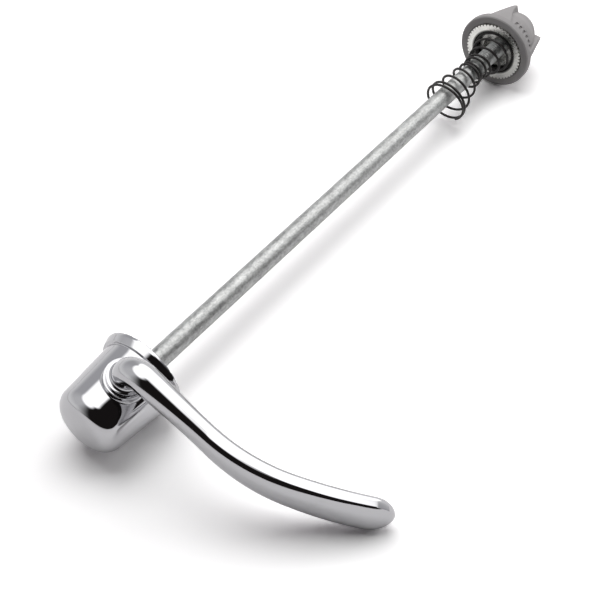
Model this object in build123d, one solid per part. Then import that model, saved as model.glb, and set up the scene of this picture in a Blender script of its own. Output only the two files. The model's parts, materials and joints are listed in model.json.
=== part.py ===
"""Quick release skewer for a bicycle wheel: a cam housing and lever, a rod, two conical springs and a winged nut.

Millimetres. The origin is the middle of the housing's clamp face, +X runs along the rod to the nut and +Z is up.
The skewer lies on a flat surface as it would come to rest, with the lever closed: the flange, the nut's rim and the
tip of the lever touch the surface.
"""
import os
from math import atan2, ceil, copysign, cos, degrees, pi, radians, sin, tan

from build123d import *

# Span between the clamp faces, and the diameter of the flange and of the nut's rim
CLAMP_SPAN = 149.2
RIM_D = 22.1

# Rod and its eye
ROD_D = 5.0
ROD_IN_NUT = 7.0
ROD_TIP_CHAMFER = 0.5
EYE_THICKNESS = 5.4
EYE_WALL_ENDS = 1.45
EYE_WALL_SIDES = 1.6
EYE_NECK_D = 8.0
EYE_NECK_LENGTH = 3.0

# Cam and shaft, which cross the rod at right angles
SHAFT_SETBACK = 8.7
CAM_THROW = 1.2
CAM_D = 5.6
CAM_LIP = 0.1
END_JOURNAL_D = 5.0
CAM_CLEARANCE = 0.3
EYE_SIDE_CLEARANCE = 0.15
RUNNING_CLEARANCE = 0.03
END_PLAY = 0.05

# Cam housing
FLANGE_LAND = 1.1
FLANGE_DEPTH = 2.4
FLANGE_CHAMFER = 0.4
SHOULDER_DROP = 1.1
SHOULDER_R = 1.0
STEP_DEPTH = 0.3
BODY_TAPER_DEG = 4.6
HOUSING_LENGTH = 20.3
END_DOME = 0.5
END_CORNER_R = 4.0
BORE_CLEARANCE = 0.2
BORE_CHAMFER = 0.4
BOSS_WALL = 0.7
BOSS_RISE = 0.55
BOSS_CHAMFER = 0.4
FAR_WALL = 1.4
POCKET_CLEARANCE = 0.4
SERRATIONS = 24
SERRATION_LAND = 1.25
SERRATION_WIDTH = 1.6
SERRATION_DEPTH = 0.35

# Washer and snap ring on the shaft's far end
WASHER_WIDTH = 1.4
WASHER_THICKNESS = 0.5
SNAP_RING_SHOULDER = 0.9
SNAP_RING_THICKNESS = 0.5
SNAP_RING_GAP = 2.0
GROOVE_DEPTH = 0.4
SHAFT_END_STUB = 0.45

# Lever, where a squareness of 2 is an ellipse
COLLAR_OVERHANG = 0.15
COLLAR_HEIGHT = 0.8
COLLAR_CHAMFER = 0.3
NECK_D = 6.6
ARM_RISE = 6.4
ELBOW_R = 4.6
ARM_STRAIGHT = 18.2
ARM_BEND_R = 44.0
ARM_BEND_DEG = 24.5
ARM_TAIL_R = 115.0
ARM_LENGTH = 60.4
ARM_WAIST_PLACE = 17.0
ARM_WAIST_THICKNESS = 4.8
ARM_WAIST_WIDTH = 6.2
ARM_TIP_THICKNESS = 5.35
ARM_TIP_WIDTH = 8.9
ARM_TIP_SQUARENESS = 5.0
TIP_ROUNDING = 3.6
ARM_STEPS = 8
TIP_STEPS = (0.4, 0.7, 0.88, 0.98)
SECTION_POINTS = 10

# Conical springs, of one wire and one taper
WIRE_D = 0.7
WIRE_SIDES = 6
SPRING_WIDE_D = 11.9
SPRING_ROD_CLEARANCE = 0.55
LEVER_SPRING_LENGTH = 14.6
NUT_SPRING_LENGTH = 12.0
SPRING_ACTIVE_TURNS = 3.5
SPRING_END_TURNS = 1.0
SPRING_END_GAP = 0.05
SPRING_EASE = 0.5
SEGMENTS_PER_TURN = 12
SPRING_GAP = 0.3
LEVER_SPRING_LEAN_DEG = 10.0
LEVER_SPRING_START_DEG = 144.0

# Nut insert
RING_PROUD = 0.35
RING_DEPTH = 1.9
NOTCHES = 48
NOTCH_WIDTH = 1.1
NOTCH_DEPTH = 0.5
NOTCH_REACH = 0.9
RECESS_CLEARANCE = 0.2
RECESS_DEPTH = 1.3
WELL_D = 8.4
WELL_DEPTH = 3.6
SLEEVE_WALL = 0.8
SLEEVE_END = 11.5
SEAT_PLAY = 0.1

# Nut cover
KNOB_LENGTH = 17.0
RIM_WIDTH = 2.3
RIM_CHAMFER = 0.3
RIM_FACE = 2.1
RING_GAP = 0.2
CORE_STEP = 1.85
CORE_WAIST_DROP = 1.4
CORE_SHOULDER_DROP = 3.0
CORE_WAIST_LENGTH = 3.6
CROWN_LENGTH = 4.4
CROWN_FLAT_D = 4.0
CROWN_BULGE = 0.7
CROWN_WALL = 2.0
ROD_END_ROOM_D = 5.8
FIN_COUNT = 3
FIN_STEP = 0.9
FIN_TIP_DROP = 3.05
FIN_SETBACK = 1.8
FIN_SHOULDER_LENGTH = 4.2
FIN_BASE_DEG = (-40.0, 17.0)
FIN_SHOULDER_DEG = (-37.0, -7.0)
FIN_TIP_DEG = (-26.0, -16.0)
RIBS_PER_GAP = 6
RIB_GROOVE_WIDTH = 0.7
RIB_GROOVE_DEPTH = 1.1
RIB_GROOVE_LENGTH = 4.0

# Worked out from the sizes above
ROD_R = ROD_D / 2
RIM_R = RIM_D / 2
EYE_X = -SHAFT_SETBACK - CAM_THROW
EYE_SLOT_X = CAM_D / 2 + CAM_CLEARANCE
EYE_SLOT_Y = CAM_D / 2 + CAM_THROW + EYE_SIDE_CLEARANCE
HEAD_R = EYE_SLOT_Y + EYE_WALL_SIDES
HEAD_HALF = EYE_SLOT_X + EYE_WALL_ENDS
JOURNAL_R = CAM_D / 2 + CAM_THROW + CAM_LIP
END_JOURNAL_R = END_JOURNAL_D / 2
CAM_HALF = EYE_THICKNESS / 2 + END_PLAY
BODY_R = RIM_R - SHOULDER_DROP - STEP_DEPTH
BORE_R = HEAD_R + BORE_CLEARANCE
BORE_DEPTH = -EYE_X + HEAD_HALF + 3 * BORE_CLEARANCE
BOSS_TOP = BODY_R + BOSS_RISE
POCKET_FLOOR = -BORE_R - FAR_WALL
WASHER_TOP = POCKET_FLOOR - END_PLAY
SNAP_RING_TOP = WASHER_TOP - WASHER_THICKNESS
SNAP_RING_BOTTOM = SNAP_RING_TOP - SNAP_RING_THICKNESS
COLLAR_BASE = BOSS_TOP + END_PLAY
NECK_BASE = COLLAR_BASE + COLLAR_HEIGHT
ARM_HEIGHT = BOSS_TOP + ARM_RISE
WASHER_R = END_JOURNAL_R + WASHER_WIDTH
GROOVE_R = END_JOURNAL_R - GROOVE_DEPTH
SPRING_WIDE_R = SPRING_WIDE_D / 2
SPRING_NARROW_R = ROD_R + SPRING_ROD_CLEARANCE + WIRE_D / 2
RING_SEAT_R = RIM_R - RIM_FACE
RING_R = RING_SEAT_R - RING_GAP
RECESS_R = SPRING_WIDE_R + WIRE_D / 2 + RECESS_CLEARANCE
SLEEVE_R = WELL_D / 2 + SLEEVE_WALL
SPRING_SEAT = CLAMP_SPAN + RECESS_DEPTH - SEAT_PLAY
CORE_R = RIM_R - CORE_STEP
CROWN_BASE = KNOB_LENGTH - CROWN_LENGTH
FIN_END = KNOB_LENGTH - FIN_SETBACK


def turned(points):
    """A solid turned about the rod's axis from an outline of (x, radius) points."""
    return revolve(make_face(Polyline(*points, close=True)), Axis.X)


def on_shaft(radius, bottom, top, x=-SHAFT_SETBACK):
    """An upright cylinder on the lever's shaft, or beside it, between two heights."""
    return Pos(x, 0, bottom) * Cylinder(
        radius, top - bottom, align=(Align.CENTER, Align.CENTER, Align.MIN)
    )


def around_rod(distance, angle_deg):
    """Y and Z of a point beside the rod, with the angle from straight up towards -Y."""
    return -distance * sin(radians(angle_deg)), distance * cos(radians(angle_deg))


def housing_outline():
    """Half section of the housing: flange, shoulder, tapered body and domed end."""
    end_x = -HOUSING_LENGTH + END_DOME
    end_r = BODY_R - (-FLANGE_DEPTH - end_x) * tan(radians(BODY_TAPER_DEG))
    dome_r = (end_r**2 + END_DOME**2) / (2 * END_DOME)
    half_way = atan2(end_r, dome_r - END_DOME) / 2
    dome_mid = (-HOUSING_LENGTH + dome_r * (1 - cos(half_way)), dome_r * sin(half_way))
    side = Polyline(
        (-HOUSING_LENGTH, 0),
        (0, 0),
        (0, RIM_R - FLANGE_CHAMFER),
        (-FLANGE_CHAMFER, RIM_R),
        (-FLANGE_LAND, RIM_R),
        (-FLANGE_DEPTH, RIM_R - SHOULDER_DROP),
        (-FLANGE_DEPTH, BODY_R),
        (end_x, end_r),
    )
    dome = ThreePointArc((end_x, end_r), dome_mid, (-HOUSING_LENGTH, 0))
    outline = make_face([*side.edges(), dome])
    outline = fillet(outline.vertices().sort_by_distance((-FLANGE_LAND, RIM_R, 0))[0], SHOULDER_R)
    return fillet(outline.vertices().sort_by_distance((end_x, end_r, 0))[0], END_CORNER_R)


def clamp_serrations():
    """Cutters for the radial grooves in the outer part of the clamp face."""
    inner_r = BORE_R + BORE_CHAMFER + SERRATION_LAND
    groove = make_face(
        Polyline(
            (SERRATION_DEPTH, -SERRATION_WIDTH / 2),
            (SERRATION_DEPTH, SERRATION_WIDTH / 2),
            (-SERRATION_DEPTH, 0),
            close=True,
        )
    )
    cutter = Pos(0, 0, inner_r) * extrude(groove, RIM_R - inner_r + SERRATION_DEPTH)
    return [Rot(X=360 * k / SERRATIONS) * cutter for k in range(SERRATIONS)]


def cam_housing():
    """The chromed cup: clamp flange, tapered body, side boss, middle bore and cross bore."""
    boss = on_shaft(JOURNAL_R + BOSS_WALL, 0, BOSS_TOP)
    boss = chamfer(boss.edges().sort_by(Axis.Z)[-1], BOSS_CHAMFER)
    body = revolve(housing_outline(), Axis.X) + boss
    bore = turned(
        [
            (-BORE_DEPTH, 0),
            (0, 0),
            (0, BORE_R + BORE_CHAMFER),
            (-BORE_CHAMFER, BORE_R),
            (-BORE_DEPTH, BORE_R),
        ]
    )
    journal_bore = on_shaft(JOURNAL_R + RUNNING_CLEARANCE, 0, BOSS_TOP)
    far_bore = on_shaft(END_JOURNAL_R + RUNNING_CLEARANCE, POCKET_FLOOR, 0)
    far_pocket = on_shaft(WASHER_R + POCKET_CLEARANCE, -RIM_R, POCKET_FLOOR)
    body -= [bore, journal_bore, far_bore, far_pocket]
    return body - clamp_serrations()


def skewer_rod():
    """The rod with its forged eye, whose slot gives way sideways to the cam."""
    neck_x = EYE_X + HEAD_HALF
    rod_end = CLAMP_SPAN + ROD_IN_NUT
    head = turned(
        [
            (EYE_X - HEAD_HALF, 0),
            (EYE_X - HEAD_HALF, HEAD_R),
            (neck_x, HEAD_R),
            (neck_x, EYE_NECK_D / 2),
            (neck_x + EYE_NECK_LENGTH, ROD_R),
            (neck_x + EYE_NECK_LENGTH, 0),
        ]
    )
    head &= Pos(EYE_X, 0, 0) * Box(4 * HEAD_R, 4 * HEAD_R, EYE_THICKNESS)
    slot = SlotOverall(2 * EYE_SLOT_Y, 2 * EYE_SLOT_X, rotation=90)
    head -= Pos(EYE_X, 0, -EYE_THICKNESS) * extrude(slot, 2 * EYE_THICKNESS)
    shank = turned(
        [
            (neck_x, 0),
            (neck_x, ROD_R),
            (rod_end - ROD_TIP_CHAMFER, ROD_R),
            (rod_end, ROD_R - ROD_TIP_CHAMFER),
            (rod_end, 0),
        ]
    )
    return head + shank


def arm_frame(distance):
    """Plane across the arm at a distance along it: local x through its thickness, local y through its width."""
    in_bend = min(max(distance - ARM_STRAIGHT, 0), radians(ARM_BEND_DEG) * ARM_BEND_R)
    in_tail = max(distance - ARM_STRAIGHT - in_bend, 0)
    bend = in_bend / ARM_BEND_R
    heading = bend + in_tail / ARM_TAIL_R
    x = -SHAFT_SETBACK + ARM_BEND_R * (1 - cos(bend)) + ARM_TAIL_R * (cos(bend) - cos(heading))
    reach = ELBOW_R + min(distance, ARM_STRAIGHT)
    reach += ARM_BEND_R * sin(bend) + ARM_TAIL_R * (sin(heading) - sin(bend))
    return Plane(
        origin=(x, -reach, ARM_HEIGHT),
        x_dir=(cos(heading), sin(heading), 0),
        z_dir=(sin(heading), -cos(heading), 0),
    )


def elbow_frame(angle_deg):
    """Plane across the elbow between the neck, at 0 degrees, and the arm, at 90."""
    angle = radians(angle_deg)
    return Plane(
        origin=(
            -SHAFT_SETBACK,
            -ELBOW_R * (1 - cos(angle)),
            ARM_HEIGHT - ELBOW_R * (1 - sin(angle)),
        ),
        x_dir=(1, 0, 0),
        z_dir=(0, -sin(angle), cos(angle)),
    )


def arm_size(distance):
    """Thickness, width and squareness of the arm: round at the root, slim at the waist, broad at the tip."""
    end = ARM_LENGTH - TIP_ROUNDING
    squareness = 2 + (ARM_TIP_SQUARENESS - 2) * distance / end
    if distance < ARM_WAIST_PLACE:
        share = sin(pi / 2 * distance / ARM_WAIST_PLACE)
        thickness = NECK_D + share * (ARM_WAIST_THICKNESS - NECK_D)
        width = NECK_D + share * (ARM_WAIST_WIDTH - NECK_D)
    else:
        share = sin(pi / 2 * (distance - ARM_WAIST_PLACE) / (end - ARM_WAIST_PLACE))
        thickness = ARM_WAIST_THICKNESS + share * (ARM_TIP_THICKNESS - ARM_WAIST_THICKNESS)
        width = ARM_WAIST_WIDTH + share * (ARM_TIP_WIDTH - ARM_WAIST_WIDTH)
    return thickness, width, squareness


def arm_section(frame, thickness, width, squareness):
    """A closed section of the lever: an ellipse that can be squared up."""
    points = []
    for k in range(SECTION_POINTS):
        turn = 2 * pi * (k + 0.5) / SECTION_POINTS
        x = copysign(abs(cos(turn)) ** (2 / squareness), cos(turn)) * thickness / 2
        y = copysign(abs(sin(turn)) ** (2 / squareness), sin(turn)) * width / 2
        points.append(frame.from_local_coords((x, y, 0)))
    return make_face(Spline(*points, periodic=True))


def lever_arm():
    """Neck, elbow and curved arm lofted through their sections, with a rounded tip."""
    neck_frame = Plane(origin=(-SHAFT_SETBACK, 0, NECK_BASE), x_dir=(1, 0, 0), z_dir=(0, 0, 1))
    sections = [arm_section(neck_frame, NECK_D, NECK_D, 2)]
    for angle in (30, 60):
        sections.append(arm_section(elbow_frame(angle), NECK_D, NECK_D, 2))
    tip_start = ARM_LENGTH - TIP_ROUNDING
    for k in range(ARM_STEPS + 1):
        distance = tip_start * k / ARM_STEPS
        sections.append(arm_section(arm_frame(distance), *arm_size(distance)))
    thickness, width, squareness = arm_size(tip_start)
    tip_sections = [sections[-1]]
    for share in TIP_STEPS:
        left = (1 - share**2) ** 0.5
        frame = arm_frame(tip_start + TIP_ROUNDING * share)
        tip_sections.append(arm_section(frame, thickness * left, width * left, squareness))
    return loft(sections) + loft(tip_sections, ruled=True)


def lever():
    """The forged lever with its journal, eccentric cam and grooved end journal."""
    collar = on_shaft(JOURNAL_R + COLLAR_OVERHANG, COLLAR_BASE, NECK_BASE)
    collar = chamfer(collar.edges().sort_by(Axis.Z)[-1], COLLAR_CHAMFER)
    shaft = collar + on_shaft(JOURNAL_R, CAM_HALF, COLLAR_BASE)
    shaft += on_shaft(CAM_D / 2, -CAM_HALF, CAM_HALF, EYE_X)
    shaft += on_shaft(END_JOURNAL_R, SNAP_RING_TOP, -CAM_HALF)
    shaft += on_shaft(GROOVE_R, SNAP_RING_BOTTOM, SNAP_RING_TOP)
    shaft += on_shaft(END_JOURNAL_R, SNAP_RING_BOTTOM - SHAFT_END_STUB, SNAP_RING_BOTTOM)
    return shaft + lever_arm()


def shaft_washer():
    """Plain washer between the housing's far pocket and the snap ring."""
    washer = on_shaft(WASHER_R, SNAP_RING_TOP, WASHER_TOP)
    return washer - on_shaft(END_JOURNAL_R + RUNNING_CLEARANCE, SNAP_RING_TOP, WASHER_TOP)


def retaining_ring():
    """Open snap ring in the groove of the end journal."""
    ring = on_shaft(END_JOURNAL_R + SNAP_RING_SHOULDER, SNAP_RING_BOTTOM, SNAP_RING_TOP)
    ring -= on_shaft(GROOVE_R, SNAP_RING_BOTTOM, SNAP_RING_TOP)
    return ring - Pos(-SHAFT_SETBACK, 0, SNAP_RING_TOP) * Box(
        END_JOURNAL_D + 2 * SNAP_RING_SHOULDER,
        SNAP_RING_GAP,
        2 * SNAP_RING_THICKNESS,
        align=(Align.MIN, Align.CENTER, Align.MAX),
    )


def conical_spring(length, start_deg, turn_sign):
    """A conical spring along +X, wide end first, with closed turns at both ends."""
    total = SPRING_ACTIVE_TURNS + 2 * SPRING_END_TURNS
    end_pitch = WIRE_D + SPRING_END_GAP
    rise = length - WIRE_D - 2 * SPRING_END_TURNS * end_pitch
    points = []
    steps = ceil(total * SEGMENTS_PER_TURN)
    for k in range(steps + 1):
        turn = total * k / steps
        share = min(max((turn - SPRING_END_TURNS) / SPRING_ACTIVE_TURNS, 0), 1)
        closed = turn - share * SPRING_ACTIVE_TURNS
        eased = share + SPRING_EASE * (share * share * (3 - 2 * share) - share)
        radius = SPRING_WIDE_R + eased * (SPRING_NARROW_R - SPRING_WIDE_R)
        x = closed * end_pitch + eased * rise
        points.append((x, *around_rod(radius, start_deg + turn_sign * 360 * turn)))
    path = Polyline(*points)
    wire = Plane(origin=path @ 0, z_dir=path % 0) * RegularPolygon(WIRE_D / 2, WIRE_SIDES)
    return Pos(WIRE_D / 2, 0, 0) * sweep(wire, path=path, transition=Transition.RIGHT)


def nut_spring():
    """The nut's spring, with its wide end in the nut's recess and its narrow end towards the housing."""
    return Pos(SPRING_SEAT, 0, 0) * Rot(Z=180) * conical_spring(NUT_SPRING_LENGTH, 0, 1)


def lever_spring():
    """The lever's spring, slid along to the other one, hanging from the rod at a slant by its narrow end."""
    lowest_corner = (SPRING_NARROW_R + WIRE_D / 2) * sin(radians(LEVER_SPRING_LEAN_DEG))
    narrow_end = SPRING_SEAT - NUT_SPRING_LENGTH - SPRING_GAP - lowest_corner
    spring = conical_spring(LEVER_SPRING_LENGTH, LEVER_SPRING_START_DEG, -1)
    return Pos(narrow_end, 0, 0) * Rot(Y=-LEVER_SPRING_LEAN_DEG) * Pos(-LEVER_SPRING_LENGTH, 0, 0) * spring


def ring_notches():
    """Cutters for the notches round the edge of the nut's clamp ring."""
    outline = make_face(
        Polyline(
            (RING_R - NOTCH_DEPTH, 0),
            (RING_R + NOTCH_DEPTH, NOTCH_WIDTH / 2),
            (RING_R + NOTCH_DEPTH, -NOTCH_WIDTH / 2),
            close=True,
        )
    )
    cutter = Pos(CLAMP_SPAN - RING_PROUD, 0, 0) * Rot(0, 90, 0) * extrude(outline, NOTCH_REACH)
    return [Rot(X=360 * k / NOTCHES) * cutter for k in range(NOTCHES)]


def nut_insert():
    """The steel insert: notched clamp ring, recess for the spring, well and threaded sleeve."""
    thread_r = ROD_R + RUNNING_CLEARANCE
    insert = turned(
        [
            (-RING_PROUD, RECESS_R),
            (-RING_PROUD, RING_R),
            (RING_DEPTH, RING_R),
            (RING_DEPTH, SLEEVE_R),
            (SLEEVE_END, SLEEVE_R),
            (SLEEVE_END, thread_r),
            (WELL_DEPTH, thread_r),
            (WELL_DEPTH, WELL_D / 2),
            (RECESS_DEPTH, WELL_D / 2),
            (RECESS_DEPTH, RECESS_R),
        ]
    )
    return Pos(CLAMP_SPAN, 0, 0) * insert - ring_notches()


def fin():
    """One wing of the knob: a wide root behind the rim that narrows to its tip, cut to a cone."""
    def slice_at(x, angles):
        corners = [
            (CROWN_FLAT_D / 2, angles[0]),
            (RIM_D, angles[0]),
            (RIM_D, angles[1]),
            (CROWN_FLAT_D / 2, angles[1]),
        ]
        return make_face(Polyline(*[(x, *around_rod(r, a)) for r, a in corners], close=True))

    slices = [
        slice_at(RIM_WIDTH, FIN_BASE_DEG),
        slice_at(FIN_END - FIN_SHOULDER_LENGTH, FIN_SHOULDER_DEG),
        slice_at(FIN_END, FIN_TIP_DEG),
    ]
    base_r = RIM_R - FIN_STEP
    cone = turned(
        [
            (RIM_WIDTH, 0),
            (RIM_WIDTH, base_r),
            (FIN_END, base_r - FIN_TIP_DROP),
            (FIN_END, 0),
        ]
    )
    return loft(slices, ruled=True) & cone


def rib_grooves():
    """Cutters for the short ribs behind the rim, in the gap after each wing."""
    first = FIN_BASE_DEG[1]
    gap = 360 / FIN_COUNT - (FIN_BASE_DEG[1] - FIN_BASE_DEG[0])
    groove = Pos(RIM_WIDTH, 0, CORE_R - RIB_GROOVE_DEPTH) * Box(
        RIB_GROOVE_LENGTH,
        RIB_GROOVE_WIDTH,
        RIB_GROOVE_DEPTH + CORE_STEP,
        align=(Align.MIN, Align.CENTER, Align.MIN),
    )
    cutters = []
    for wing in range(FIN_COUNT):
        for k in range(RIBS_PER_GAP):
            angle = first + gap * (k + 0.5) / RIBS_PER_GAP + 360 * wing / FIN_COUNT
            cutters.append(Rot(X=angle) * groove)
    return cutters


def knob_outline():
    """Half section of the knob without its wings: rim, ribbed root and rounded crown."""
    crown_start = (CROWN_BASE, CORE_R - CORE_SHOULDER_DROP)
    crown_end = (KNOB_LENGTH, CROWN_FLAT_D / 2)
    drop = crown_start[1] - crown_end[1]
    chord = (CROWN_LENGTH**2 + drop**2) ** 0.5
    crown_mid = (
        (crown_start[0] + crown_end[0]) / 2 + CROWN_BULGE * drop / chord,
        (crown_start[1] + crown_end[1]) / 2 + CROWN_BULGE * CROWN_LENGTH / chord,
    )
    side = Polyline(
        crown_end,
        (KNOB_LENGTH, 0),
        (0, 0),
        (0, RIM_R - RIM_CHAMFER),
        (RIM_CHAMFER, RIM_R),
        (RIM_WIDTH - RIM_CHAMFER, RIM_R),
        (RIM_WIDTH, RIM_R - RIM_CHAMFER),
        (RIM_WIDTH, CORE_R),
        (CROWN_BASE - CORE_WAIST_LENGTH, CORE_R - CORE_WAIST_DROP),
        crown_start,
    )
    return make_face([*side.edges(), ThreePointArc(crown_start, crown_mid, crown_end)])


def nut_cover():
    """The moulded knob over the insert: rim, wings, ribs, and a stepped seat inside."""
    knob = revolve(knob_outline(), Axis.X)
    one_fin = fin()
    knob += [Rot(X=360 * k / FIN_COUNT) * one_fin for k in range(FIN_COUNT)]
    knob -= rib_grooves()
    knob -= turned(
        [
            (0, 0),
            (0, RING_SEAT_R),
            (RING_DEPTH, RING_SEAT_R),
            (RING_DEPTH, SLEEVE_R),
            (SLEEVE_END, SLEEVE_R),
            (SLEEVE_END, ROD_END_ROOM_D / 2),
            (KNOB_LENGTH - CROWN_WALL, ROD_END_ROOM_D / 2),
            (KNOB_LENGTH - CROWN_WALL, 0),
        ]
    )
    return Pos(CLAMP_SPAN, 0, 0) * knob


def resting_roll(piece):
    """Roll about the rod that brings the lever's tip down to the surface under the flange."""
    low, high = 0.0, 60.0
    while high - low > 0.005:
        middle = (low + high) / 2
        if (Rot(X=middle) * piece).bounding_box().min.Z > -RIM_R:
            low = middle
        else:
            high = middle
    return low


lever_piece = lever()
roll = resting_roll(lever_piece)
rolled = Rot(X=roll)
print(f"roll about the rod {roll:.3f} degrees")

pieces = {
    "cam_housing": rolled * cam_housing(),
    "lever": rolled * lever_piece,
    "shaft_washer": rolled * shaft_washer(),
    "retaining_ring": rolled * retaining_ring(),
    "skewer_rod": rolled * skewer_rod(),
    "lever_spring": lever_spring(),
    "nut_spring": nut_spring(),
    "nut_insert": nut_insert(),
    "nut_cover": nut_cover(),
}

os.makedirs("parts", exist_ok=True)
for name, piece in pieces.items():
    export_step(piece, f"parts/{name}.step")
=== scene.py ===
"""Quick release skewer, dressed for display: chromed lever and housing, satin rod, wire springs, grey nut.

The build functions work in millimetres, with the rod along X. The housing, the lever and the rod are built
with the lever's shaft upright, and ROLLED turns them to the way the part lies. MM turns millimetres into
metres.
"""

import json
import math

import bmesh
import bpy
from bpy.props import FloatProperty, FloatVectorProperty, IntProperty, PointerProperty
from mathutils import Matrix, Vector


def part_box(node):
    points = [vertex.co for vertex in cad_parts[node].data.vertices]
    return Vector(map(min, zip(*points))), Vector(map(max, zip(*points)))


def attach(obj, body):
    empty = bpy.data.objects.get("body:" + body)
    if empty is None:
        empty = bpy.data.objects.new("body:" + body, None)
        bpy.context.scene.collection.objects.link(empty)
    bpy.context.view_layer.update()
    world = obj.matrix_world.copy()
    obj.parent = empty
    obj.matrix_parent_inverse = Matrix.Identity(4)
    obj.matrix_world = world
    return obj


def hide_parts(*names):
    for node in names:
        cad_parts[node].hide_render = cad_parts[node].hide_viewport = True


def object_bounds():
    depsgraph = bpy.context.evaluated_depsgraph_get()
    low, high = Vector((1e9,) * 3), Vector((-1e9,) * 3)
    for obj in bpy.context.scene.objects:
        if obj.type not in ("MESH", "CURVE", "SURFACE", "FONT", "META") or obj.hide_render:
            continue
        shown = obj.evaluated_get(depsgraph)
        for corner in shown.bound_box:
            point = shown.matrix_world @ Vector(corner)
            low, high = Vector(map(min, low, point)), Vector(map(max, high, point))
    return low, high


bl_info = {
    "name": "Quick Release Skewer",
    "version": (1, 0, 0),
    "blender": (4, 5, 0),
    "location": "3D View > Sidebar > Skewer",
    "description": "Builds the visible pieces of a quick release skewer and a small studio for it",
    "category": "Object",
}

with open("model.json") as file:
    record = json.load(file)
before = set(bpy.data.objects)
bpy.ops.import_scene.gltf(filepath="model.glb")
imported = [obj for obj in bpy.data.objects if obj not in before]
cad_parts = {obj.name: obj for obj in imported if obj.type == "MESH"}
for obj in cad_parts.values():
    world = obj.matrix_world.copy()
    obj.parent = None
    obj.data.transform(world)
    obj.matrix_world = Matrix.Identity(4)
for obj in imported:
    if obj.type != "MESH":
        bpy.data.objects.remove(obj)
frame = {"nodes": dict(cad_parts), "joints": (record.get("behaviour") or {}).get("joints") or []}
CAD_BOX = [list(corner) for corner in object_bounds()]
MM = 0.001
LEVER_HINGE = next(joint for joint in frame["joints"] if joint["name"] == "lever_turn")
ROLLED = Matrix.Rotation(math.atan2(LEVER_HINGE["axis"][1], -LEVER_HINGE["axis"][2]), 4, "X")
SHAFT_X = LEVER_HINGE["pos_m"][0] / MM
ROD_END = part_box("skewer_rod")[1].x / MM
FLOOR_Z = CAD_BOX[0][2]


# Sizes and colours

class SkewerSizes(bpy.types.PropertyGroup):
    """Sizes of the detail that the display model adds to the solids."""

    rod_diameter: FloatProperty(
        name="Rod", description="Diameter of the rod", default=0.005, min=0.003, unit="LENGTH"
    )
    thread_pitch: FloatProperty(
        name="Thread pitch", description="Step of the thread", default=0.0008, min=0.0003, unit="LENGTH"
    )
    thread_length: FloatProperty(
        name="Thread length", description="Threaded length at the nut's end", default=0.0165, unit="LENGTH"
    )
    wire_diameter: FloatProperty(
        name="Spring wire", description="Diameter of the wire", default=0.0007, min=0.0003, unit="LENGTH"
    )
    boss_fillet: FloatProperty(
        name="Boss fillet", description="Rounding at the foot of the boss", default=0.00035, unit="LENGTH"
    )
    moulded_edge: FloatProperty(
        name="Moulded edge", description="Rounding of the knob's edges", default=0.00022, unit="LENGTH"
    )
    pressed_edge: FloatProperty(
        name="Pressed edge", description="Rounding of small steel edges", default=0.00006, unit="LENGTH"
    )
    serrations: IntProperty(
        name="Serrations", description="Grooves in the housing's clamp face", default=24, min=8
    )


class SkewerFinish(bpy.types.PropertyGroup):
    """Colours and gloss of the pieces."""

    chrome: FloatVectorProperty(
        name="Chrome", description="Polished chrome", subtype="COLOR", default=(0.505, 0.505, 0.52)
    )
    chrome_gloss: FloatProperty(
        name="Chrome roughness", description="Roughness of clean chrome", default=0.025, min=0.0, max=1.0
    )
    rod: FloatVectorProperty(
        name="Rod", description="Satin plating of the rod", subtype="COLOR", default=(0.42, 0.426, 0.422)
    )
    zinc: FloatVectorProperty(
        name="Zinc", description="Plating of the nut's insert", subtype="COLOR", default=(0.74, 0.74, 0.71)
    )
    wire: FloatVectorProperty(
        name="Wire", description="Blackened spring wire", subtype="COLOR", default=(0.016, 0.014, 0.014)
    )
    knob: FloatVectorProperty(
        name="Knob", description="Grey moulded knob", subtype="COLOR", default=(0.44, 0.424, 0.433)
    )


class SkewerStudio(bpy.types.PropertyGroup):
    """The floor, the light and the camera."""

    floor: FloatVectorProperty(
        name="Floor", description="Colour of the floor", subtype="COLOR", default=(0.82, 0.815, 0.815)
    )
    floor_white: FloatProperty(
        name="Floor white", description="Colour of the floor where the camera sees it", default=1.28, min=1.0
    )
    lamp_power: FloatProperty(
        name="Lamp", description="Power of the overhead lamp", default=5.5, unit="POWER"
    )
    side_power: FloatProperty(
        name="Side lamp", description="Power of the lamp at the nut's side", default=1.5, unit="POWER"
    )
    sky: FloatProperty(
        name="Sky", description="Strength of the world's light on the pieces", default=0.5
    )
    panel: FloatProperty(
        name="Panel", description="Brightness of the white part of the dome", default=2.2
    )
    lens: FloatProperty(
        name="Lens", description="Focal length of the camera", default=69.0, unit="CAMERA"
    )


# Shader arithmetic

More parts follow.
